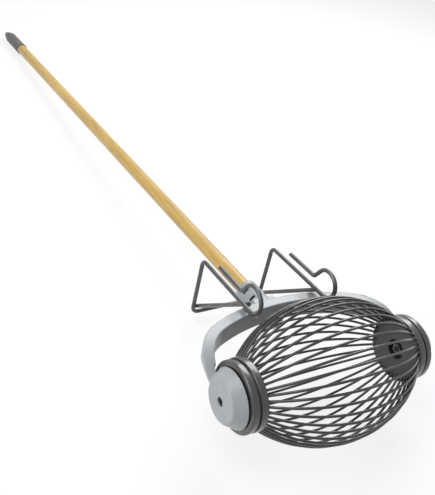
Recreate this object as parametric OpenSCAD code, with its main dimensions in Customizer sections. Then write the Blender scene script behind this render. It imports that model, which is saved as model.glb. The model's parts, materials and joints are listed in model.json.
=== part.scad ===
// Rolling nut gatherer: a cage of spring wires that turns between two hubs in a yoke,
// on a long wooden handle, with a loose wire frame for emptying the cage over a bucket.
// The tool lies on the floor on its cage and on the cap of its handle.
// X runs along the axle, +Y towards the cap, +Z up.

/* [Cage] */
// Number of spring wires around the cage
wire_count = 40; // [24:4:44]
// Diameter of a spring wire
wire_d = 3.3; // [2:0.1:3.6]
// Radius of the cage at its belly, to the middle of the wires
belly_r = 87.4; // [75:0.2:90]
// Radius of the circle on which the wires enter the hubs
root_r = 39; // [34:0.5:39.5]
// Clear distance between the two hubs
hub_gap = 229; // [190:1:260]
// Length of wire that sits in each hub
root_depth = 5; // [3:0.5:7]

/* [Hubs] */
// Radius of the flange that holds the wires
hub_r = 43.5; // [43.4:0.1:47]
// Width of the flange
hub_flange_w = 9.5; // [8:0.5:16]
// Radius at the bottom of the groove beside the flange
hub_groove_r = 40.5; // [38:0.5:42]
// Width of the groove
hub_groove_w = 2.5; // [1:0.5:4]
// Radius of the ring beside the hub cover
hub_ring_r = 43; // [42.5:0.1:45]
// Width of the ring
hub_ring_w = 8.5; // [6:0.5:12]
// Width of the slope on the ring's outer edge
hub_edge = 1.6; // [0.5:0.1:3]
// Radius of the pocket for the lock nut
hub_pocket_r = 13; // [12:0.5:20]
// Depth of the pocket for the lock nut
hub_pocket_depth = 9.6; // [9:0.2:12]

/* [Axle] */
// Diameter of the axle bolts
axle_d = 7; // [5:0.5:8]
// Diameter of an axle bolt's head
bolt_head_d = 10.4; // [9:0.2:12]
// Height of an axle bolt's head
bolt_head_h = 4.5; // [3:0.5:4.5]
// Width across the flats of the key socket in the bolt head
bolt_key_w = 4; // [3:0.5:5]
// Wall of a hub's bush
bush_wall = 3.5; // [2:0.5:5]
// Diameter of the washers
washer_d = 19; // [15:0.5:22]
// Thickness of the washers
washer_t = 1.6; // [1:0.1:2]
// Width across the flats of the lock nuts
nut_w = 12; // [10:0.5:14]
// Height of the lock nuts
nut_h = 6; // [5:0.5:6.5]

/* [Yoke] */
// Distance from the axle to the back of the crossbar
cross_y = 121; // [118:0.5:150]
// Outer radius of the bow's gently curved back
back_r = 260; // [200:5:400]
// Outer radius of the bow's two corners
corner_r = 74; // [50:1:90]
// Thickness of the bow, seen from above
band_t = 15; // [10:0.5:16]
// Height of the bow
band_h = 27; // [20:0.5:34]
// Height of the axle above the bow's lower edge
band_drop = 1.5; // [0:0.5:8]
// Rounding of the bow's edges
band_edge_r = 1.5; // [1:0.5:6]
// Distance from the axle at which the arms begin to slope down to the hub covers
slope_y = 68; // [64:2:72]
// Slope of the arms' upper side
arm_slope = 26; // [22:2:28]
// Height of the upright strip left along the arms' upper edge
arm_land = 2.5; // [2:0.5:3.5]
// Lean of the arms' outer side below that strip
arm_draft = 34; // [28:2:36]
// Radius of a hub cover's flat face
cover_face_r = 26.3; // [20:0.1:32]
// Radius of a hub cover's rim
cover_rim_r = 36.6; // [34:0.1:41]
// Depth of a hub cover from face to rim
cover_depth = 15.4; // [12:0.1:22]
// Rounding between a hub cover's face and its slope
cover_edge_r = 4; // [4:8:12]
// Wall of a hub cover
cover_wall = 3.5; // [2.5:0.5:5]
// Distance by which a cover's face stands out past the bow's arms
cover_stand = 1.5; // [0.5:0.5:4]
// Clear gap between a cover's rim and its hub
cover_gap = 1.6; // [1:0.1:4]
// Radius of the boss inside a hub cover
boss_r = 10; // [8:0.5:12]
// Depth of the recess for the bolt head in a cover's face
head_recess = 6; // [5:0.5:11.5]

/* [Handle] */
// Diameter of the wooden handle
handle_d = 22; // [19:0.5:24]
// Length of the wooden handle
handle_len = 1230; // [900:5:1500]
// Height of the axle above the handle's centre line
socket_drop = 8.4; // [0:0.2:12]
// Wall of the handle socket
socket_wall = 5; // [4:0.5:7]
// Thickness of the socket's closed end
socket_floor = 6; // [4:0.5:10]
// Length of the socket behind the crossbar
socket_len = 66; // [60:1:120]
// Width of each web between crossbar and socket
web_w = 9; // [4:1:28]
// Length of each web along the socket
web_len = 26; // [15:1:50]
// Length of a handle screw under its head
screw_len = 12; // [9:0.5:14]
// Diameter of a handle screw
screw_d = 3.8; // [3:0.1:5]
// Diameter of a handle screw's head
screw_head_d = 7.6; // [6.4:0.2:9]

/* [Handle cap] */
// Outer diameter of the cap
cap_d = 26; // [25.5:0.5:32]
// Length of the cap's round part
cap_len = 98; // [80:1:120]
// Length of wood inside the cap
cap_bore = 70; // [40:1:80]
// Length of the cap's slope down to the tab
cap_taper = 16; // [10:1:30]
// Length of the tab past the slope
tab_len = 18; // [16:1:24]
// Width of the tab
tab_w = 16; // [12:0.5:20]
// Thickness of the tab
tab_t = 10; // [6:0.5:12]
// Diameter of the hanging hole in the tab
hang_d = 6.4; // [4:0.2:8]

/* [Bucket frame] */
// Diameter of the frame's wire
frame_d = 6; // [4:0.2:7]
// Distance from the middle of the tool to each hook
frame_half_w = 58; // [50:0.5:70]
// Distance from the axle to the middle of the hooks' loops
loop_y = 96; // [94:0.5:110]
// Radius of a hook's loop
loop_r = 18.5; // [15:0.5:22]
// Direction in which the wire leaves the loop
loop_exit = 35; // [20:1:45]
// Distance between a hook's two prongs
prong_gap = 15; // [11:0.5:20]
// Distance from the loop's middle to the free end of the upper prong
prong_free = 81; // [50:1:90]
// Distance from the loop's middle to the leg
prong_len = 123; // [110:1:150]
// Length of the leg from the lower prong to the cross wire
leg_len = 95; // [91:1:100]
// Backward lean of the leg
leg_lean = 4; // [0:0.5:10]
// Distance from the loop's middle to the brace's upper end
brace_head = 15; // [12:0.5:30]
// Distance from the lower prong to the brace's lower end, along the leg
brace_foot = 84; // [60:1:84]
// Radius of the bend between upper prong and loop
lip_bend_r = 5; // [4:0.5:8]
// Radius of the bend between lower prong and leg
apex_bend_r = 9; // [6:0.5:14]
// Radius of the bend between leg and cross wire
foot_bend_r = 10; // [7:0.5:14]

/* [Hidden] */
// Clearances: turning fits, parts that are only put together, and open gaps
run_clear = 0.05;
seat_clear = 0.1;
run_gap = 0.3;
hub_clear = 1.6;
// Depth to which a brace is sunk into the hook by its weld
weld_sink = 0.3;
// Length by which cuts run past the surface
over = 1;
// A bend is thinned a little by its bending, and its ends reach into the straight wire
bend_thin = 0.05;
bend_lap = 0.3;
// Room left past the end of a wire in its hole, and beside it for its swing
root_room = 0.6;
swing_clear = 0.7;
// Slope at the flange's edge, just outside the wires' holes
rim_edge = 0.8;
// Length of bolt past the lock nut
bolt_past = 1;
// Slope at the ends of the wood
wood_edge = 1.2;
// Height of a screw's head, and the depth of the recess that takes it
screw_head_h = 2.2;
screw_recess = 2.6;
// Slots across the upper sides of the socket
slot_len = 10;
slot_w = 4;
slot_depth = 3.9;
slot_inset = 15;
slot_pitch = 17;
slot_turn = 48;
// Shares of the socket's length at which the two screws sit
screw_place_shares = [0.35, 0.75];
// Share of the bow's height to which the webs rise
web_rise_share = 0.3;
// Share of the bolt head's height that the key socket takes
key_depth_share = 0.6;
// Share of the tab's length at which the hanging hole sits
hang_place_share = 0.5;
// Share of the cap's radius left where the slope meets the tab
taper_end_share = 0.55;

$fn = 64;
sides = [-1, 1];
hex = 6;

// Stations along the axle, measured from the middle of the tool
hub_in = hub_gap / 2;
groove_in = hub_in + hub_flange_w;
groove_out = groove_in + hub_groove_w;
hub_out = groove_out + hub_ring_w;
rim_x = hub_out + cover_gap;
face_x = rim_x + cover_depth;
arm_x = face_x - cover_stand;
boss_end = hub_out + run_gap + washer_t;
arm_in = max(rim_x, boss_end + run_gap);
head_seat = face_x - head_recess;
pocket_end = hub_in + hub_pocket_depth;
keeper_out = pocket_end - run_gap;
nut_out = keeper_out - washer_t;
bolt_end = nut_out - nut_h - bolt_past;

// Rounded edge of a hub cover, as points of radius and station
cover_slope = atan2(cover_depth, cover_rim_r - cover_face_r);
cover_edge_mid = [cover_face_r - cover_edge_r * tan(cover_slope / 2), face_x - cover_edge_r];
cover_edge_steps = 5;
cover_edge = [for (k = [0:cover_edge_steps]) let (a = 90 - cover_slope * k / cover_edge_steps)
    cover_edge_mid + cover_edge_r * [cos(a), sin(a)]];

axle_r = axle_d / 2;
bush_r = axle_r + run_clear + bush_wall;

// Shape of a spring wire: one arc from hub to hub
wire_r = wire_d / 2;
wire_pitch = 360 / wire_count;
wire_rise = belly_r - root_r;
wire_arc_r = (hub_in * hub_in + wire_rise * wire_rise) / (2 * wire_rise);
wire_turn = asin(hub_in / wire_arc_r);
root_turn = root_depth / wire_arc_r * 180 / PI;

// The cage rests on two neighbouring wires
cage_reach = belly_r * cos(wire_pitch / 2) + wire_r;

// Bow: a curved back, two corners that run on from it, and the arms
back_y = cross_y - back_r;
corner_x = arm_x - corner_r;
corner_reach = back_r - corner_r;
corner_y = back_y + sqrt(corner_reach * corner_reach - corner_x * corner_x);
back_turn = asin(corner_x / corner_reach);
corner_lap = bend_lap / corner_r * 180 / PI;
band_top = band_h - band_drop;
band_mid_z = band_top - band_h / 2;

// Handle and cap, along the tool
handle_r = handle_d / 2;
socket_r = handle_r + seat_clear + socket_wall;
socket_front = cross_y - band_t / 2;
socket_back = cross_y + socket_len;
handle_from = socket_front + socket_floor + seat_clear;
handle_to = handle_from + handle_len;
cap_r = cap_d / 2;
cap_from = handle_to - cap_bore;
cap_ring = cap_from + cap_len;
tab_from = cap_ring + cap_taper;
tab_to = tab_from + tab_len;
hang_y = tab_from + tab_len * hang_place_share;
screw_seat = socket_drop + socket_r - screw_recess;
screw_places = [for (s = screw_place_shares) cross_y + socket_len * s];

// The tool leans down until the cap's ring meets the floor
ring_low = socket_drop + cap_r;
lie = asin(cage_reach / norm([cap_ring, ring_low])) - atan2(ring_low, cap_ring);
tab_high = tab_t / 2 - socket_drop;
reach_back = tab_to * cos(lie) + tab_high * sin(lie);
axle_y = (cage_reach - reach_back) / 2;
axle_z = cage_reach;

// Bucket frame, seated with its braces on the crossbar's back edge
frame_r = frame_d / 2;
brace_x = frame_half_w - frame_d + weld_sink;
brace_from = [brace_head, 0];
brace_to = [prong_len + brace_foot * sin(leg_lean), -brace_foot * cos(leg_lean)];
brace_run = brace_to - brace_from;
brace_angle = atan2(brace_run[1], brace_run[0]);
brace_len = norm(brace_run);
bar_back = back_y + sqrt(back_r * back_r - brace_x * brace_x);
seat_y = bar_back - band_edge_r;
seat_z = band_top - band_edge_r;
seat_reach = band_edge_r + frame_r + run_gap;
loop_z = seat_z + seat_reach / cos(brace_angle) - (seat_y - loop_y - brace_head) * tan(brace_angle);

function wire_angle(i) = (i - 0.5) * wire_pitch;
function wire_name(i) = str("wire_", i < 10 ? "0" : "", i);

// Put a piece of the turning cage in its place on the floor
module on_cage() {
    translate([0, axle_y, axle_z]) children();
}

// Put a piece of the yoke, handle or frame in its place, leaning with the handle
module on_tool() {
    on_cage() rotate([-lie, 0, 0]) children();
}

// The right-hand piece is drawn; the left-hand one is its mirror image
module on_side(side) {
    if (side < 0) mirror([1, 0, 0]) children();
    else children();
}

// Turn a profile of radius and station about the axle
module around_axle() {
    rotate([0, 90, 0]) rotate_extrude() children();
}

// Round bar along the axle from one station to the next
module axle_bar(r, from, to) {
    translate([from, 0, 0]) rotate([0, 90, 0]) cylinder(r = r, h = to - from);
}

// Round bar along the handle's centre line
module handle_bar(r, from, to) {
    translate([0, from, -socket_drop]) rotate([-90, 0, 0]) cylinder(r = r, h = to - from);
}

// Cone along the handle's centre line
module handle_cone(r1, r2, from, to) {
    translate([0, from, -socket_drop]) rotate([-90, 0, 0]) cylinder(r1 = r1, r2 = r2, h = to - from);
}

module rounded_bar_section(w, h, r) {
    square([w - 2 * r, h], center = true);
    square([w, h - 2 * r], center = true);
    for (x = sides, y = sides)
        translate([x * (w / 2 - r), y * (h / 2 - r)]) circle(r = r);
}

// Curved wire in the XY plane, as an arc about the origin
module wire_arc(r, bend, from, turn) {
    rotate([0, 0, from]) rotate_extrude(angle = turn) translate([bend, 0]) circle(r = r);
}

// Bend between two lengths of wire
module wire_bend(r, bend, from, turn) {
    lap = bend_lap / bend * 180 / PI;
    wire_arc(r - bend_thin, bend, from - lap, turn + 2 * lap);
}

module handle() {
    color("#d9c083") on_tool() difference() {
        union() {
            handle_cone(handle_r - wood_edge, handle_r, handle_from, handle_from + wood_edge);
            handle_bar(handle_r, handle_from + wood_edge, handle_to - wood_edge);
            handle_cone(handle_r, handle_r - wood_edge, handle_to - wood_edge, handle_to);
        }
        for (y = screw_places)
            translate([0, y, -screw_seat])
                cylinder(r = screw_d / 2 + seat_clear, h = screw_len + root_room);
    }
}

module handle_cap() {
    color("#45464b") on_tool() difference() {
        union() {
            handle_bar(cap_r, cap_from, cap_ring);
            handle_cone(cap_r, cap_r * taper_end_share, cap_ring, tab_from);
            translate([0, 0, -socket_drop - tab_t / 2]) linear_extrude(tab_t) {
                translate([-tab_w / 2, cap_ring]) square([tab_w, tab_to - tab_w / 2 - cap_ring]);
                translate([0, tab_to - tab_w / 2]) circle(r = tab_w / 2);
            }
        }
        handle_bar(handle_r + seat_clear, cap_from - over, handle_to + seat_clear);
        translate([0, hang_y, -socket_drop - tab_t]) cylinder(r = hang_d / 2, h = 2 * tab_t);
    }
}

module handle_screws() {
    color("#8d9094") on_tool()
        for (y = screw_places) translate([0, y, -screw_seat]) {
            cylinder(r = screw_d / 2, h = screw_len);
            translate([0, 0, -screw_head_h]) cylinder(r = screw_head_d / 2, h = screw_head_h);
        }
}

// Curved bar with rounded edges, as an arc about the origin; thin is taken off all round
module band_arc(r, from, turn, thin) {
    rotate([0, 0, from]) rotate_extrude(angle = turn) translate([r - band_t / 2, 0])
        rounded_bar_section(band_t - 2 * thin, band_h - 2 * thin, band_edge_r);
}

// What is cut off the arms: all above their sloping upper side, and all outside their leaning outer side
module arm_cuts() {
    translate([0, slope_y, band_top]) rotate([arm_slope, 0, 0]) {
        translate([-face_x, -2 * slope_y, 0]) cube([2 * face_x, 2 * slope_y, 2 * band_h]);
        for (side = sides) on_side(side) translate([arm_x, -2 * slope_y, -arm_land]) rotate([0, arm_draft, 0])
            translate([0, 0, -2 * band_h]) cube([band_h, 3 * slope_y, 2 * band_h]);
    }
}

// The bow: its back, its corners and its arms, cleared for the hubs
module bow() {
    difference() {
        translate([0, 0, band_mid_z]) {
            translate([0, back_y, 0]) band_arc(back_r, 90 - back_turn, 2 * back_turn, 0);
            for (side = sides) on_side(side) {
                translate([corner_x, corner_y, 0])
                    band_arc(corner_r, -corner_lap, 90 - back_turn + 2 * corner_lap, bend_thin);
                translate([arm_x - band_t / 2, corner_y, 0]) rotate([90, 0, 0])
                    linear_extrude(corner_y) rounded_bar_section(band_t, band_h, band_edge_r);
            }
        }
        axle_bar(hub_r + hub_clear, -arm_in, arm_in);
        arm_cuts();
    }
}

// One hub cover: a shallow cup with a boss for the axle bolt
module hub_cover() {
    around_axle() polygon(concat([[axle_r, face_x]], cover_edge, [
        [cover_rim_r, rim_x], [cover_rim_r - cover_wall, rim_x],
        [cover_face_r - cover_wall, face_x - cover_wall], [boss_r, face_x - cover_wall],
        [boss_r, boss_end], [axle_r, boss_end]]));
}

// Handle socket with its two side webs
module socket() {
    handle_bar(socket_r, socket_front, socket_back);
    translate([0, 0, -socket_drop]) linear_extrude(socket_drop - band_drop + band_h * web_rise_share)
        polygon([[-socket_r - web_w, cross_y - band_t / 2], [socket_r + web_w, cross_y - band_t / 2],
                 [socket_r, cross_y + web_len], [-socket_r, cross_y + web_len]]);
}

module yoke() {
    color("#a9b2ba") on_tool() difference() {
        union() {
            bow();
            for (side = sides) on_side(side) hub_cover();
            socket();
        }
        for (side = sides) on_side(side) {
            axle_bar(axle_r + seat_clear, boss_end - over, face_x + over);
            axle_bar(bolt_head_d / 2 + run_gap, head_seat, face_x + over);
        }
        handle_bar(handle_r + seat_clear, handle_from - seat_clear, socket_back + over);
        for (k = [0, 1], side = sides) translate([0, 0, -socket_drop]) rotate([0, side * slot_turn, 0])
            translate([-slot_len / 2, socket_back - slot_inset - k * slot_pitch - slot_w / 2,
                       socket_r - slot_depth])
                cube([slot_len, slot_w, slot_depth + over]);
        for (y = screw_places) translate([0, y, -screw_seat]) {
            cylinder(r = screw_d / 2 + seat_clear, h = socket_wall + over);
            translate([0, 0, -screw_recess - over])
                cylinder(r = screw_head_d / 2 + run_gap, h = screw_recess + over);
        }
    }
}

module axle_bolt() {
    difference() {
        union() {
            axle_bar(axle_r, bolt_end, head_seat + bolt_head_h / 2);
            axle_bar(bolt_head_d / 2, head_seat, head_seat + bolt_head_h);
        }
        translate([head_seat + bolt_head_h * (1 - key_depth_share), 0, 0]) rotate([0, 90, 0])
            cylinder(r = bolt_key_w / 2 / cos(180 / hex), h = bolt_head_h, $fn = hex);
    }
}

module axle_bolt_left() {
    color("#777b80") on_tool() on_side(-1) axle_bolt();
}

module axle_bolt_right() {
    color("#777b80") on_tool() on_side(1) axle_bolt();
}

module washer(from) {
    difference() {
        axle_bar(washer_d / 2, from, from + washer_t);
        axle_bar(axle_r + seat_clear, from - over, from + washer_t + over);
    }
}

// Washers between each hub and its cover
module thrust_washers() {
    color("#c9ccd0") on_tool() for (side = sides) on_side(side) washer(boss_end - washer_t);
}

// Washers that keep the hubs on their bolts
module keeper_washers() {
    color("#c9ccd0") on_tool() for (side = sides) on_side(side) washer(keeper_out - washer_t);
}

module lock_nuts() {
    color("#8d9094") on_tool() for (side = sides) on_side(side) difference() {
        translate([nut_out - nut_h, 0, 0]) rotate([0, 90, 0])
            cylinder(r = nut_w / 2 / cos(180 / hex), h = nut_h, $fn = hex);
        axle_bar(axle_r + seat_clear, nut_out - nut_h - over, nut_out + over);
    }
}

// A grooved hub with a ring of slanting holes for the wires
module hub() {
    difference() {
        around_axle() polygon([
            [bush_r + run_clear, pocket_end], [hub_pocket_r, pocket_end], [hub_pocket_r, hub_in],
            [hub_r - rim_edge, hub_in], [hub_r, hub_in + rim_edge], [hub_r, groove_in],
            [hub_groove_r, groove_in], [hub_groove_r, groove_out], [hub_ring_r, groove_out],
            [hub_ring_r, hub_out - hub_edge], [hub_ring_r - hub_edge, hub_out],
            [bush_r + run_clear, hub_out]]);
        for (i = [1:wire_count]) rotate([wire_angle(i), 0, 0])
            translate([hub_in, root_r, 0]) rotate([0, 0, -wire_turn])
                axle_bar(wire_r + swing_clear, -2 * wire_d, root_depth + root_room);
    }
}

module hub_left() {
    color("#232427") on_cage() on_side(-1) hub();
}

module hub_right() {
    color("#232427") on_cage() on_side(1) hub();
}

module hub_bush() {
    difference() {
        axle_bar(bush_r, pocket_end, hub_out);
        axle_bar(axle_r + run_clear, pocket_end - over, hub_out + over);
    }
}

module hub_bush_left() {
    color("#b08d57") on_cage() on_side(-1) hub_bush();
}

module hub_bush_right() {
    color("#b08d57") on_cage() on_side(1) hub_bush();
}

// One spring wire: an arc whose ends sit loosely in both hubs
module wire(i) {
    reach = wire_turn + root_turn;
    color("#2b2c30") on_cage() rotate([wire_angle(i), 0, 0])
        translate([0, belly_r - wire_arc_r, 0]) wire_arc(wire_r, wire_arc_r, 90 - reach, 2 * reach);
}

// Put a piece of the bucket frame in its place: local X runs back, local Y up, local Z to the right
module on_frame() {
    on_tool() translate([0, loop_y, loop_z]) rotate([90, 0, 90]) children();
}

// Round bar of frame wire from a point, in a direction of the local XY plane
module frame_bar(point, direction, len) {
    translate(point) rotate([0, 0, direction]) rotate([0, 90, 0]) cylinder(r = frame_r, h = len);
}

// One hook: from its free end round the loop, back to the leg and down to the cross wire
module hook_half() {
    lip_turn = 90 - loop_exit;
    leg_turn = 90 - leg_lean;
    loop_out = loop_r * [cos(loop_exit), 1 + sin(loop_exit)];
    lip_cut = lip_bend_r * tan(lip_turn / 2);
    lip_run = (loop_out[1] - prong_gap) / cos(loop_exit);
    lip_x = loop_out[0] + lip_run * sin(loop_exit);
    apex_cut = apex_bend_r * tan(leg_turn / 2);
    frame_bar([lip_x + lip_cut, prong_gap, 0], 0, prong_free - lip_x - lip_cut);
    translate([lip_x + lip_cut, prong_gap + lip_bend_r, 0])
        wire_bend(frame_r, lip_bend_r, 270 - lip_turn, lip_turn);
    frame_bar([loop_out[0], loop_out[1], 0], loop_exit - 90, lip_run - lip_cut);
    translate([0, loop_r, 0]) wire_bend(frame_r, loop_r, loop_exit, 270 - loop_exit);
    frame_bar([0, 0, 0], 0, prong_len - apex_cut);
    translate([prong_len - apex_cut, -apex_bend_r, 0]) wire_bend(frame_r, apex_bend_r, leg_lean, leg_turn);
    translate([prong_len, 0, 0]) rotate([0, 0, leg_lean]) {
        frame_bar([0, -apex_cut, 0], -90, leg_len - apex_cut - foot_bend_r);
        translate([0, foot_bend_r - leg_len, -foot_bend_r]) rotate([0, 90, 0])
            wire_bend(frame_r, foot_bend_r, 180, 90);
    }
}

module hook_wire() {
    cross_half = frame_half_w - foot_bend_r;
    color("#4d4f53") on_frame() {
        for (side = sides)
            mirror([0, 0, side < 0 ? 1 : 0]) translate([0, 0, frame_half_w]) hook_half();
        translate([prong_len + leg_len * sin(leg_lean), -leg_len * cos(leg_lean), -cross_half])
            cylinder(r = frame_r, h = 2 * cross_half);
    }
}

// Straight brace welded to the inner side of a hook's lower prong and leg
module brace() {
    translate([0, 0, brace_x])
        frame_bar(brace_from - frame_r * [cos(brace_angle), sin(brace_angle)], brace_angle,
                  brace_len + frame_d);
}

module brace_left() {
    color("#4d4f53") on_frame() mirror([0, 0, 1]) brace();
}

module brace_right() {
    color("#4d4f53") on_frame() brace();
}

handle();
handle_cap();
handle_screws();
yoke();
axle_bolt_left();
axle_bolt_right();
thrust_washers();
keeper_washers();
lock_nuts();
hub_left();
hub_right();
hub_bush_left();
hub_bush_right();
hook_wire();
brace_left();
brace_right();
for (i = [1:wire_count])
    wire(i);
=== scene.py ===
import json
import math

import bmesh
import bpy
from mathutils import Matrix, Vector


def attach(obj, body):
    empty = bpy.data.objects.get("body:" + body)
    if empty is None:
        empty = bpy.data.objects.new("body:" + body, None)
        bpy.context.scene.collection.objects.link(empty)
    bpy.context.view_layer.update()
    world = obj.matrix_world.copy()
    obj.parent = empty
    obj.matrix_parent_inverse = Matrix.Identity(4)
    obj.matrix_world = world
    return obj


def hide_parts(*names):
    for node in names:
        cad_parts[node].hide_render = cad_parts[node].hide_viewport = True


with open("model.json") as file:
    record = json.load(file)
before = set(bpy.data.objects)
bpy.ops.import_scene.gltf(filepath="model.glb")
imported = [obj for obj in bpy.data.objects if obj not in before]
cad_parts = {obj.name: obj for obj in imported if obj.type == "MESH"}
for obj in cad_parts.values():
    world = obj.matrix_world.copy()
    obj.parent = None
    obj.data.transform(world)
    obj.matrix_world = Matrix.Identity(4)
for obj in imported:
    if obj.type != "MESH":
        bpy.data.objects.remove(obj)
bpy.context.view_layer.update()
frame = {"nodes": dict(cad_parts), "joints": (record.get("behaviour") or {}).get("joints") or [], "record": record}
nodes = frame["nodes"]
joints = {joint["name"]: joint for joint in frame["joints"]}
mounts = {mount["name"]: mount for mount in frame["record"]["mounts"]}
scene = bpy.context.scene
scene.view_settings.view_transform = "Standard"

# Metres in a millimetre
MM = 0.001

# Where the tool lies: the axle's place, and the lean of the handle on the floor
AXLE = Vector(joints["cage_spin"]["pos_m"])
hang_axis = mounts["hang_hole"]["axis"]
LEAN = math.atan2(hang_axis[1], hang_axis[2])
CAGE = Matrix.Translation(AXLE)
TOOL = CAGE @ Matrix.Rotation(-LEAN, 4, "X")

# Wires in millimetres, as in the CAD part: reach from the axle at belly and hub, and length inside a hub
WIRE_R = 1.65
BELLY_R = 87.4
ROOT_R = 39.0
ROOT_DEPTH = 5.0

# Steps along a wire and round it, and the rings of its domed ends
WIRE_STEPS = 60
WIRE_SIDES = 12
DOME_SHARES = (0.30, 0.62, 0.87)

# Hubs in millimetres, as in the CAD part: stations from the middle of the axle, and radii
HUB_IN = 114.5
GROOVE_IN = 124.0
GROOVE_OUT = 126.5
HUB_OUT = 135.0
POCKET_DEPTH = 9.6
POCKET_END = HUB_IN + POCKET_DEPTH
HUB_R = 43.5
GROOVE_R = 40.5
RING_R = 43.0
POCKET_R = 13.0
BORE_R = 7.2

# Rounding of the hubs' corners in millimetres, and the steps of a corner and of a full turn
BORE_EASE = 0.4
POCKET_EASE = 0.8
RIM_EASE = 1.6
LIP_EASE = 1.2
GROOVE_EASE = 0.6
RING_EASE = 2.2
EASE_STEPS = 5
TURN_STEPS = 128

# Handle socket in millimetres, as in the CAD part: the handle's drop below the axle, and the slots
HANDLE_DROP = 8.4
SLOT_PLACES = (155.0, 172.0)
SLOT_TURN = math.radians(48)
SLOT_LEN = 10.0
SLOT_W = 4.0

# Faces this far round a slot, and this close to the handle's middle line, belong to the slot and get painted
# shade: the slot floors and the lower part of their walls
SLOT_SHADE_MARGIN = 0.2
SLOT_SHADE_OUTER_R = 14.9

# Bow in millimetres, as in the CAD part: its lower and upper sides, and where its arms start to slope
BOW_LOW = -1.5
BOW_TOP = 25.5
SLOPE_Y = 68.0
ARM_SLOPE = math.tan(math.radians(26))

# The slope starts gently over this length on either side of its start
BEND_REACH = 22.0

# Moulded edges: size of the remeshing in millimetres, and how far each pass of smoothing goes
YOKE_VOXEL = 0.6
CAP_VOXEL = 0.55
SMOOTHING = 0.5

# Floor in metres, and the light: 1 shows as white
FLOOR_SIZE = 12.0
FLOOR_COLOUR = (0.86, 0.86, 0.86, 1.0)
FLOOR_ROUGH = 0.9
FLOOR_GLOW_SHARE = 0.8
WHITE = 1.0
WORLD_LIGHT = 0.2


# Camera, as fitted to the photograph
def make_camera():
    """Put the camera where it sees the axle at its pixel of the photograph."""
    photo_w, photo_h = 435, 495
    axle_px_x, axle_px_y = 326.674, 369.848
    focal_px = 684.89
    axle_depth = 833.9 * MM
    azimuth, elevation, roll = map(math.radians, (-35.995, 33.205, 12.0))
    sensor_mm = 36.0
    near, far = 0.01, 50.0
    back = Vector((math.sin(azimuth) * math.cos(elevation),
                   -math.cos(azimuth) * math.cos(elevation), math.sin(elevation)))
    level = Vector((math.cos(azimuth), math.sin(azimuth), 0))
    upright = back.cross(level)
    right = math.cos(roll) * level + math.sin(roll) * upright
    up = math.cos(roll) * upright - math.sin(roll) * level
    axle_right = (axle_px_x - photo_w / 2) / focal_px * axle_depth
    axle_up = (photo_h / 2 - axle_px_y) / focal_px * axle_depth
    stand = AXLE - right * axle_right - up * axle_up + back * axle_depth
    data = bpy.data.cameras.new("camera")
    data.sensor_width = sensor_mm
    data.lens = focal_px / photo_h * sensor_mm
    data.clip_start = near
    data.clip_end = far
    camera = bpy.data.objects.new("camera", data)
    camera.matrix_world = Matrix.Translation(stand) @ Matrix((right, up, back)).transposed().to_4x4()
    scene.collection.objects.link(camera)
    scene.camera = camera


make_camera()


# Shader nodes
def feed(tree, target, inputs):
    """Fill a node's inputs, each from a value or from another node's output."""
    for name, value in inputs.items():
        if isinstance(value, bpy.types.NodeSocket):
            tree.links.new(value, target.inputs[name])
        else:
            target.inputs[name].default_value = value
    return target


def node(tree, kind, inputs, **settings):
    """A new node with its settings and inputs."""
    new = tree.nodes.new(kind)
    for name, value in settings.items():
        setattr(new, name, value)
    return feed(tree, new, inputs)


def coords(tree, stretch=(1, 1, 1), turn=0.0):
    """Object coordinates, turned about X and stretched."""
    source = tree.nodes.new("ShaderNodeTexCoord").outputs["Object"]
    inputs = {"Vector": source, "Scale": stretch, "Rotation": (turn, 0, 0)}
    return node(tree, "ShaderNodeMapping", inputs).outputs["Vector"]


def noise(tree, vector, scale, detail, rough, distortion=0.0):
    """Soft noise between 0 and 1."""
    inputs = {"Vector": vector, "Scale": scale, "Detail": detail, "Roughness": rough,
              "Distortion": distortion}
    return node(tree, "ShaderNodeTexNoise", inputs).outputs["Fac"]


def ramp(tree, factor, stops):
    """Colours along a factor, from (place, colour) stops."""
    new = node(tree, "ShaderNodeValToRGB", {"Fac": factor})
    elements = new.color_ramp.elements
    while len(elements) < len(stops):
        elements.new(position=0.5)
    for element, (position, colour) in zip(elements, stops):
        element.position = position
        element.color = (*colour, 1.0)
    return new.outputs["Color"]


def span(tree, factor, low, high):
    """A factor between 0 and 1, spread from low to high."""
    inputs = {"Value": factor, "To Min": low, "To Max": high}
    return node(tree, "ShaderNodeMapRange", inputs).outputs["Result"]


def multiplied(tree, colour, by, share):
    """A colour times another one, by a share of it."""
    inputs = {"Fac": share, "Color1": colour, "Color2": by}
    return node(tree, "ShaderNodeMixRGB", inputs, blend_type="MULTIPLY").outputs["Color"]


def bumped(tree, height, strength, depth):
    """A surface normal with relief, its depth in millimetres."""
    inputs = {"Height": height, "Strength": strength, "Distance": depth * MM}
    return node(tree, "ShaderNodeBump", inputs).outputs["Normal"]


# Materials
def material(name):
    """A new material, with its node tree and its shader."""
    new = bpy.data.materials.new(name)
    new.use_nodes = True
    return new, new.node_tree, new.node_tree.nodes["Principled BSDF"]


def mottled(name, dark, light, rough, grain, relief, depth,
            metal=0.0, coat=0.0, coat_rough=0.1, cloud=18.0):
    """Coated or moulded surface: soft clouds of colour, and a fine grain in its gloss and relief."""
    new, tree, shader = material(name)
    vector = coords(tree)
    clouds = noise(tree, vector, scale=cloud, detail=4.0, rough=0.55)
    fine = noise(tree, vector, scale=grain, detail=2.0, rough=0.6)
    feed(tree, shader, {
        "Base Color": ramp(tree, clouds, stops=[(0.3, dark), (0.7, light)]),
        "Roughness": span(tree, fine, *rough),
        "Metallic": metal,
        "Coat Weight": coat,
        "Coat Roughness": coat_rough,
        "Normal": bumped(tree, fine, relief, depth),
    })
    return new


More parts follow.
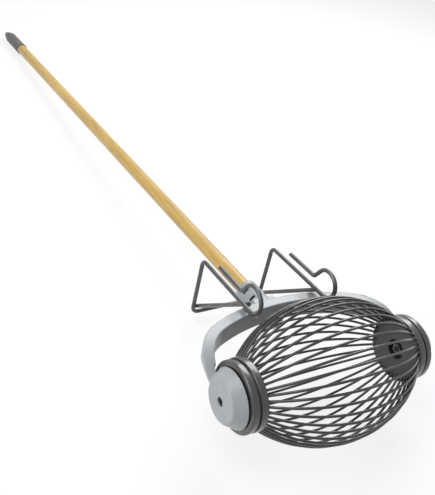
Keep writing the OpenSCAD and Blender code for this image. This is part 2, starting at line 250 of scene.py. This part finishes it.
def wood_material():
    """Varnished stick: streaks and pores along the handle, and a slow change of tone."""
    new, tree, shader = material("handle_wood")
    plain = (1.0, 1.0, 1.0)
    streaks = noise(tree, coords(tree, stretch=(60, 2.2, 60), turn=-LEAN),
                    scale=4.0, detail=6.0, rough=0.6, distortion=0.4)
    pores = noise(tree, coords(tree, stretch=(260, 6, 260), turn=-LEAN), scale=5.0, detail=3.0, rough=0.6)
    tone = noise(tree, coords(tree, stretch=(6, 1.2, 6), turn=-LEAN), scale=2.0, detail=2.0, rough=0.5)
    grain = ramp(tree, streaks, stops=[(0.30, (0.368, 0.226, 0.052)), (0.50, (0.490, 0.324, 0.086)),
                                       (0.72, (0.560, 0.396, 0.120))])
    shade = ramp(tree, tone, stops=[(0.3, (0.86, 0.83, 0.78)), (0.7, plain)])
    flecks = ramp(tree, pores, stops=[(0.30, (0.72, 0.62, 0.50)), (0.42, plain)])
    shaded = multiplied(tree, grain, by=shade, share=1.0)
    feed(tree, shader, {
        "Base Color": multiplied(tree, shaded, by=flecks, share=0.6),
        "Roughness": span(tree, streaks, low=0.36, high=0.52),
        "Coat Weight": 0.15,
        "Coat Roughness": 0.25,
        "Normal": bumped(tree, pores, strength=0.15, depth=0.4),
    })
    return new


WOOD = wood_material()
YOKE = mottled("yoke_plastic", dark=(0.262, 0.278, 0.288), light=(0.308, 0.324, 0.335), rough=(0.34, 0.48),
               grain=900, relief=0.10, depth=0.3, coat=0.15, coat_rough=0.3)
# Painted shade: a near-black colour on the floors and lower walls of the socket's slots
SLOT_SHADE_PAINT = mottled("yoke_slot_painted_shade", dark=(0.010, 0.010, 0.010), light=(0.018, 0.018, 0.018),
                 rough=(0.60, 0.75), grain=900, relief=0.05, depth=0.2)
CAP = mottled("cap_plastic", dark=(0.062, 0.062, 0.068), light=(0.088, 0.088, 0.095), rough=(0.48, 0.62),
              grain=1100, relief=0.20, depth=0.3)
HUB = mottled("hub_plastic", dark=(0.010, 0.010, 0.011), light=(0.018, 0.018, 0.019), rough=(0.36, 0.46),
              grain=700, relief=0.04, depth=0.2, coat=0.7, coat_rough=0.16)
BUSH = mottled("bush_plastic", dark=(0.55, 0.52, 0.42), light=(0.66, 0.63, 0.53), rough=(0.40, 0.55),
               grain=900, relief=0.08, depth=0.2, cloud=60)
SPRING = mottled("spring_steel", dark=(0.004, 0.004, 0.005), light=(0.008, 0.008, 0.009),
                 rough=(0.18, 0.26), grain=1500, relief=0.03, depth=0.1,
                 coat=0.3, coat_rough=0.08, cloud=60)
FRAME = mottled("frame_steel", dark=(0.048, 0.051, 0.055), light=(0.084, 0.087, 0.092), rough=(0.26, 0.40),
                grain=1300, relief=0.10, depth=0.2, metal=0.55, coat=0.3, coat_rough=0.2, cloud=45)
# Bolt heads near-black and matte: a black finish, darkened further as painted shade so the hole in the hub cover
# shows dark
BOLT = mottled("bolt_steel", dark=(0.003, 0.003, 0.003), light=(0.006, 0.006, 0.006), rough=(0.70, 0.85),
               grain=900, relief=0.08, depth=0.1, cloud=120)
STEEL = mottled("fastener_steel", dark=(0.10, 0.102, 0.106), light=(0.16, 0.163, 0.168),
                rough=(0.30, 0.45), grain=900, relief=0.08, depth=0.1, metal=1.0, cloud=120)

FINISH = {"handle_wood": WOOD, "cap_plastic": CAP, "yoke_plastic": YOKE, "hub_plastic": HUB,
          "bush_plastic": BUSH, "spring_steel": SPRING, "frame_steel": FRAME, "fastener_steel": STEEL,
          "bolt_steel": BOLT}
for part in frame["record"]["subparts"]:
    mesh = nodes[part["node"]].data
    mesh.materials.clear()
    mesh.materials.append(FINISH[part["material_slot"]])


# Making pieces
def stand_in(piece, body, node_name):
    """Let a piece ride on a body and stand for a CAD node, which is hidden."""
    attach(piece, body)
    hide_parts(node_name)


def mesh_object(name, verts, faces, finish):
    """A smoothly shaded object with its faces turned outwards."""
    mesh = bpy.data.meshes.new(name)
    mesh.from_pydata(verts, [], faces)
    bm = bmesh.new()
    bm.from_mesh(mesh)
    bmesh.ops.recalc_face_normals(bm, faces=bm.faces)
    bm.to_mesh(mesh)
    bm.free()
    mesh.shade_smooth()
    mesh.materials.append(finish)
    piece = bpy.data.objects.new(name, mesh)
    scene.collection.objects.link(piece)
    return piece


def dome(tip, inward, radius):
    """Rings of a round wire's end, from the tip inwards, as (middle, radius)."""
    return [(tip + inward * radius * (1 - math.sqrt(1 - share * share)), radius * share)
            for share in DOME_SHARES]


def tube(name, points, radius, finish):
    """A round wire along points, with domed ends."""
    first = (points[1] - points[0]).normalized()
    last = (points[-1] - points[-2]).normalized()
    middles = [points[0] + first * radius, *points[1:-1], points[-1] - last * radius]
    rings = dome(points[0], first, radius)
    rings += [(middle, radius) for middle in middles]
    rings += reversed(dome(points[-1], -last, radius))
    side = first.orthogonal().normalized()
    verts, faces = [], []
    for k, (middle, ring_r) in enumerate(rings):
        before = rings[max(0, k - 1)][0]
        after = rings[min(len(rings) - 1, k + 1)][0]
        along = (after - before).normalized()
        side = (side - along * side.dot(along)).normalized()
        other = along.cross(side)
        for j in range(WIRE_SIDES):
            turn = 2 * math.pi * j / WIRE_SIDES
            verts.append(middle + (side * math.cos(turn) + other * math.sin(turn)) * ring_r)
    for k in range(len(rings) - 1):
        for j in range(WIRE_SIDES):
            a, b = k * WIRE_SIDES + j, k * WIRE_SIDES + (j + 1) % WIRE_SIDES
            faces.append((a, b, b + WIRE_SIDES, a + WIRE_SIDES))
    for start, tip in ((0, points[0]), (len(verts) - WIRE_SIDES, points[-1])):
        verts.append(tip)
        for j in range(WIRE_SIDES):
            faces.append((start + j, start + (j + 1) % WIRE_SIDES, len(verts) - 1))
    return mesh_object(name, verts, faces, finish)


def eased(corners):
    """A closed outline with rounded corners, from (x, y, radius) corners."""
    outline = []
    for k, (x, y, radius) in enumerate(corners):
        corner = Vector((x, y))
        before = (Vector(corners[k - 1][:2]) - corner).normalized()
        after = (Vector(corners[(k + 1) % len(corners)][:2]) - corner).normalized()
        half = before.angle(after) / 2
        cut = radius / math.tan(half)
        centre = corner + (before + after).normalized() * cut / math.cos(half)
        start, end = corner + before * cut - centre, corner + after * cut - centre
        turn = start.angle_signed(end)
        for step in range(EASE_STEPS + 1):
            outline.append(centre + Matrix.Rotation(-turn * step / EASE_STEPS, 2) @ start)
    return outline


def lathe(name, outline, finish, matrix):
    """A closed outline of (radius, station along X), turned about X."""
    verts, faces = [], []
    count = len(outline)
    for k in range(TURN_STEPS):
        turn = 2 * math.pi * k / TURN_STEPS
        verts += [matrix @ Vector((x, r * math.cos(turn), r * math.sin(turn))) for r, x in outline]
        this, following = k * count, (k + 1) % TURN_STEPS * count
        for j in range(count):
            beside = (j + 1) % count
            faces.append((this + j, this + beside, following + beside, following + j))
    return mesh_object(name, verts, faces, finish)


def softened(node_name, name, finish, voxel, passes, keep):
    """A moulded copy of a CAD node: remeshing and smoothing ease its edges and inner corners."""
    piece = bpy.data.objects.new(name, nodes[node_name].data.copy())
    scene.collection.objects.link(piece)
    remesh = piece.modifiers.new("remesh", "REMESH")
    remesh.mode = "VOXEL"
    remesh.voxel_size = voxel * MM
    smooth = piece.modifiers.new("smooth", "SMOOTH")
    smooth.factor = SMOOTHING
    smooth.iterations = passes
    decimate = piece.modifiers.new("decimate", "DECIMATE")
    decimate.ratio = keep
    shaped = piece.evaluated_get(bpy.context.evaluated_depsgraph_get())
    mesh = bpy.data.meshes.new_from_object(shaped)
    piece.modifiers.clear()
    piece.data = mesh
    mesh.materials.clear()
    mesh.materials.append(finish)
    mesh.shade_smooth()
    return piece


# Spring wires, evenly round the axle, the first one half a pitch above the handle's side
def wire_points(angle):
    """Points along a wire's middle line, an arc from inside one hub to inside the other."""
    rise = BELLY_R - ROOT_R
    radius = (HUB_IN * HUB_IN + rise * rise) / (2 * rise)
    half_turn = math.asin(HUB_IN / radius) + ROOT_DEPTH / radius
    round_axle = CAGE @ Matrix.Rotation(angle, 4, "X")
    points = []
    for k in range(WIRE_STEPS + 1):
        turn = half_turn * (2 * k / WIRE_STEPS - 1)
        x, y = radius * math.sin(turn), BELLY_R - radius + radius * math.cos(turn)
        points.append(round_axle @ (Vector((x, y, 0)) * MM))
    return points


wire_names = sorted(name for name in nodes if name.startswith("wire_"))
wire_pitch = 2 * math.pi / len(wire_names)
for k, wire_name in enumerate(wire_names):
    wire = tube(wire_name.replace("wire", "spring"), wire_points(wire_pitch * k + wire_pitch / 2),
                WIRE_R * MM, SPRING)
    stand_in(wire, wire_name, wire_name)

# Hubs, from the corners of half a section
HUB_CORNERS = (
    (BORE_R, HUB_OUT, BORE_EASE), (BORE_R, POCKET_END, BORE_EASE),
    (POCKET_R, POCKET_END, POCKET_EASE), (POCKET_R, HUB_IN, POCKET_EASE),
    (HUB_R, HUB_IN, RIM_EASE), (HUB_R, GROOVE_IN, LIP_EASE),
    (GROOVE_R, GROOVE_IN, GROOVE_EASE), (GROOVE_R, GROOVE_OUT, GROOVE_EASE),
    (RING_R, GROOVE_OUT, LIP_EASE), (RING_R, HUB_OUT, RING_EASE))
for side, hub in ((-1, "hub_left"), (1, "hub_right")):
    section = [(radius * MM, side * station * MM) for radius, station in eased(HUB_CORNERS)]
    shell = lathe(f"{hub}_shell", section, HUB, CAGE)
    stand_in(shell, "cage", hub)


# Yoke and cap with moulded edges, and painted shade, a near-black colour, on the floors of the yoke's slots
def in_slot_shade(at):
    """Whether a point of the tool's frame, in millimetres, is inside a slot of the handle socket, where the faces
    get painted shade.
    """
    x, z = at.x, at.z + HANDLE_DROP
    turn = math.copysign(SLOT_TURN, x)
    across = abs(x * math.cos(turn) - z * math.sin(turn))
    along = min(abs(at.y - place) for place in SLOT_PLACES)
    return (math.hypot(x, z) <= SLOT_SHADE_OUTER_R and along <= SLOT_W / 2 + SLOT_SHADE_MARGIN
            and across < SLOT_LEN / 2 + SLOT_SHADE_MARGIN)


def bend_drop(at):
    """How far a point of the bow comes down near the start of an arm's slope, to make it start gently."""
    ahead = SLOPE_Y + BEND_REACH - at.y
    if not 0 < ahead < 2 * BEND_REACH:
        return 0
    sharp = max(0, SLOPE_Y - at.y) * ARM_SLOPE
    gentle = ahead * ahead / (4 * BEND_REACH) * ARM_SLOPE
    height_share = (at.z - BOW_LOW) / (BOW_TOP - sharp - BOW_LOW)
    return (gentle - sharp) * min(1, max(0, height_share))


def make_yoke():
    """The yoke's shell, with gently starting slopes, and painted shade in its slots."""
    shell = softened("yoke", "yoke_shell", YOKE, YOKE_VOXEL, passes=6, keep=0.2)
    # A second material, near-black: painted shade for the slots
    shell.data.materials.append(SLOT_SHADE_PAINT)
    to_tool = Matrix.Scale(1 / MM, 4) @ TOOL.inverted()
    from_tool = to_tool.inverted()
    for vertex in shell.data.vertices:
        at = to_tool @ vertex.co
        vertex.co = from_tool @ (at - Vector((0, 0, bend_drop(at))))
    for face in shell.data.polygons:
        # Faces inside a slot take the painted shade, all others the yoke's own colour
        face.material_index = int(in_slot_shade(to_tool @ face.center))
    stand_in(shell, "base", "yoke")


make_yoke()
cap_shell = softened("handle_cap", "cap_shell", CAP, CAP_VOXEL, passes=8, keep=0.4)
stand_in(cap_shell, "base", "handle_cap")


# Floor and light
def seen_directly(tree):
    """1 for what is seen, straight on, in gloss or through glass, and 0 for light that falls on things."""
    path = tree.nodes.new("ShaderNodeLightPath")
    total = path.outputs["Is Camera Ray"]
    for ray in ("Is Glossy Ray", "Is Transmission Ray"):
        inputs = {0: total, 1: path.outputs[ray]}
        total = node(tree, "ShaderNodeMath", inputs, operation="ADD", use_clamp=True).outputs[0]
    return total


def make_floor():
    """A pale floor that is nearly white where it is seen, and keeps the object's shadow."""
    bpy.ops.mesh.primitive_plane_add(size=FLOOR_SIZE, location=(0, 0, 0))
    floor = bpy.context.object
    floor.name = "floor"
    finish, tree, shader = material("floor")
    feed(tree, shader, {"Base Color": FLOOR_COLOUR, "Roughness": FLOOR_ROUGH})
    glow = node(tree, "ShaderNodeEmission", {"Strength": WHITE})
    share = node(tree, "ShaderNodeMath", {0: seen_directly(tree), 1: FLOOR_GLOW_SHARE},
                 operation="MULTIPLY")
    mix = node(tree, "ShaderNodeMixShader",
               {0: share.outputs[0], 1: shader.outputs["BSDF"], 2: glow.outputs["Emission"]})
    feed(tree, tree.nodes["Material Output"], {"Surface": mix.outputs["Shader"]})
    floor.data.materials.append(finish)


def area_light(name, at, aim, side, watts):
    """A square lamp, with its place, aim and side in metres."""
    data = bpy.data.lights.new(name, "AREA")
    data.shape = "SQUARE"
    data.size = side
    data.energy = watts
    lamp = bpy.data.objects.new(name, data)
    turn = (Vector(at) - Vector(aim)).to_track_quat("Z", "Y")
    lamp.matrix_world = Matrix.Translation(at) @ turn.to_matrix().to_4x4()
    scene.collection.objects.link(lamp)


def make_world():
    """A white background that gives the object little light."""
    world = bpy.data.worlds.new("world")
    world.use_nodes = True
    tree = world.node_tree
    strength = span(tree, seen_directly(tree), WORLD_LIGHT, WHITE)
    feed(tree, tree.nodes["Background"], {"Color": (1, 1, 1, 1), "Strength": strength})
    scene.world = world


make_floor()
area_light("key", at=(1.15, 0.6, 1.5), aim=(0, -0.5, 0.05), side=1.3, watts=38)
area_light("top", at=(-0.8, -0.3, 1.8), aim=(0, -0.5, 0.05), side=1.2, watts=20)
area_light("left", at=(-2.0, -0.6, 0.7), aim=(0, -0.6, 0.1), side=1.0, watts=22)
make_world()
